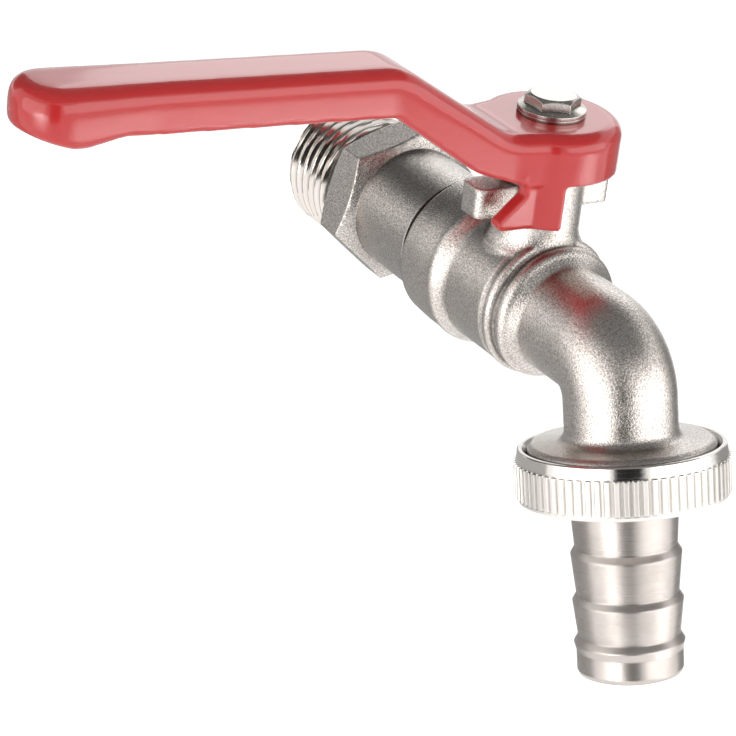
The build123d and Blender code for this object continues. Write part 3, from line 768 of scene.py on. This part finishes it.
# %% White floor, lifted to a plain white ground where it is looked at
FLOOR_HEIGHT = -0.30
FLOOR_HALF = 3.0
FLOOR_LIFT = 0.5
SQUARE = [(-1, -1), (1, -1), (1, 1), (-1, 1)]
SQUARE_FACE = (0, 1, 2, 3)
floor_mesh = bpy.data.meshes.new("studio_floor")
floor_corners = [(FLOOR_HALF * x, FLOOR_HALF * y, FLOOR_HEIGHT) for x, y in SQUARE]
floor_mesh.from_pydata(floor_corners, [], [SQUARE_FACE])
floor = bpy.data.objects.new("studio_floor", floor_mesh)
scene.collection.objects.link(floor)
paper, tree, shader = new_material("floor_paper", (0.94, 0.94, 0.94), roughness=0.9, metallic=0.0)
shader.inputs["Specular IOR Level"].default_value = 0.0
shader.inputs["Emission Color"].default_value = (1.0, 1.0, 1.0, 1.0)


def looked_at(tree):
    rays = tree.nodes.new("ShaderNodeLightPath")
    seen = math_node(tree, "MAXIMUM", rays.outputs["Is Camera Ray"], rays.outputs["Is Glossy Ray"])
    return math_node(tree, "MAXIMUM", seen, rays.outputs["Is Transmission Ray"])


lift = math_node(tree, "MULTIPLY", looked_at(tree), FLOOR_LIFT)
tree.links.new(lift, shader.inputs["Emission Strength"])
floor.data.materials.append(paper)
print("Floor:", floor.name)

# %% [markdown]
# Lamps and cards stand on a sphere round the tap. They could be placed by plain coordinates, but it is
# easier to think of them from the camera: so many degrees to its right, so many above level, so far
# away. One helper turns that into a place, another aims an object from there at the tap.

# %% Places round the tap, as an angle from the camera, a height angle and a distance
AIM = Vector((0.0, -0.045, 0.0))
towards_camera = Vector((camera_back.x, camera_back.y, 0.0)).normalized()
beside_camera = Vector((camera_right.x, camera_right.y, 0.0)).normalized()


def studio_place(turn, rise, distance):
    level = towards_camera * cos(radians(turn)) + beside_camera * sin(radians(turn))
    direction = level * cos(radians(rise)) + Vector((0.0, 0.0, sin(radians(rise))))
    return AIM + distance * direction


def aimed(obj, place):
    obj.location = place
    obj.rotation_euler = (AIM - place).to_track_quat("-Z", "Y").to_euler()
    scene.collection.objects.link(obj)


print("Lamps and cards face", AIM)

# %% [markdown]
# Two broad lamps stand left and right of the camera and make the two bright bands on every round
# piece. A third one behind the tap lies on the lever's top face as a pale sheen. A lamp's power in
# watts says little about how it looks, so each lamp is given by its brightness as seen, where 1 is
# white, and its power follows from its size.

# %% Soft lamps
SOFT_LAMPS = [
    # name, degrees right of the camera, degrees up, distance, width, height, brightness
    ("left_lamp", -51, 6, 0.9, 1.0, 0.6, 1.4),
    ("right_lamp", 62, 10, 0.9, 1.2, 0.55, 1.5),
    ("back_lamp", 172, 25, 1.0, 0.6, 0.35, 0.9),
]


def soft_lamp(name, place, width, height, brightness):
    lamp = bpy.data.lights.new(name, "AREA")
    lamp.shape = "RECTANGLE"
    lamp.size = width
    lamp.size_y = height
    lamp.energy = brightness * pi * width * height
    aimed(bpy.data.objects.new(name, lamp), place)


for name, turn, rise, distance, width, height, brightness in SOFT_LAMPS:
    soft_lamp(name, studio_place(turn, rise, distance), width, height, brightness)
print("Soft lamps:", len(bpy.data.lights))

# %% [markdown]
# The upright sides of the lever and its end mirror the floor, not a lamp. A lamp low down would show
# there with a hard border. Instead a spot lamp for each points straight down and never touches the
# tap. It makes a soft pool of light on the floor, which gives the side its pale sheen. Its power
# follows from its height and from how bright white paper below it should be.

# %% Pools of light on the floor
POOL_HEIGHT = 0.5
FLOOR_POOLS = [
    # name, degrees right of the camera, reach, radius, brightness
    ("right_pool", 68, 0.78, 0.35, 3.4),
    ("left_pool", -33, 1.3, 0.70, 8.0),
]


def floor_pool(name, turn, reach, radius, brightness):
    lamp = bpy.data.lights.new(name, "SPOT")
    lamp.spot_size = 2 * atan2(radius, POOL_HEIGHT)
    lamp.spot_blend = 1.0
    lamp.energy = 4 * pi * pi * brightness * POOL_HEIGHT ** 2
    spot = bpy.data.objects.new(name, lamp)
    spot.location = studio_place(turn, rise=0, distance=reach)
    spot.location.z = FLOOR_HEIGHT + POOL_HEIGHT
    spot.visible_glossy = False
    scene.collection.objects.link(spot)


for name, turn, reach, radius, brightness in FLOOR_POOLS:
    floor_pool(name, turn, reach, radius, brightness)
print("Lamps in all:", len(bpy.data.lights))

# %% [markdown]
# A room of white would make plated metal look like milk: it needs something dark to mirror. A picture
# of a room could stand round the tap, but plain grey cards can be placed one by one. They show in
# mirrors only: the camera doesn't see them, they throw no shadow and take no part in soft light, so
# they change no colour.

# %% Cards that the metal mirrors, each in its own plain grey
CARDS = [
    # name, degrees right of the camera, degrees up, distance, width, height, grey
    ("camera_card", 3, 8, 0.8, 0.46, 0.7, 0.02),
    ("ceiling_card", 0, 90, 0.6, 1.3, 1.3, 0.22),
    ("back_left_card", -138, 30, 0.8, 0.65, 0.7, 0.13),
    ("back_top_card", -170, 50, 0.6, 0.5, 0.35, 0.18),
    ("low_left_card", -130, -30, 0.34, 0.6, 0.42, 0.52),
    ("right_card", 130, -8, 0.5, 0.4, 0.5, 0.40),
]


def card(name, place, width, height, grey):
    paint, _, shader = new_material(name, (grey, grey, grey), roughness=0.9, metallic=0.0)
    shader.inputs["Specular IOR Level"].default_value = 0.0
    mesh = bpy.data.meshes.new(name)
    mesh.from_pydata([(x * width / 2, y * height / 2, 0.0) for x, y in SQUARE], [], [SQUARE_FACE])
    mesh.materials.append(paint)
    sheet = bpy.data.objects.new(name, mesh)
    sheet.visible_camera = False
    sheet.visible_diffuse = False
    sheet.visible_shadow = False
    aimed(sheet, place)
    print("Card:", name, "grey", grey)


for name, turn, rise, distance, width, height, grey in CARDS:
    card(name, studio_place(turn, rise, distance), width, height, grey)

# %% [markdown]
# The world is the last light. Where the camera or a mirror looks past the floor it is plain white.
# One strength for all rays would either grey the ground or wash out the tap, so for all other rays it
# is a weaker soft light from everywhere, at which colours render about as they are written.

# %% World: white to look at, plain soft light elsewhere
SKY_STRENGTH = 0.55
WHITE_STRENGTH = 1.0
FIRST_SHADER = 1
SECOND_SHADER = 2
world = bpy.data.worlds.new("studio")
scene.world = world
world.use_nodes = True
world_tree = world.node_tree
world_tree.nodes.clear()


def white_light(strength):
    light = world_tree.nodes.new("ShaderNodeBackground")
    light.inputs["Color"].default_value = (1.0, 1.0, 1.0, 1.0)
    light.inputs["Strength"].default_value = strength
    return light.outputs["Background"]


choose = world_tree.nodes.new("ShaderNodeMixShader")
world_tree.links.new(looked_at(world_tree), choose.inputs["Fac"])
world_tree.links.new(white_light(SKY_STRENGTH), choose.inputs[FIRST_SHADER])
world_tree.links.new(white_light(WHITE_STRENGTH), choose.inputs[SECOND_SHADER])
world_out = world_tree.nodes.new("ShaderNodeOutputWorld")
world_tree.links.new(choose.outputs["Shader"], world_out.inputs["Surface"])
scene.view_settings.view_transform = "Standard"
print("World:", world.name)
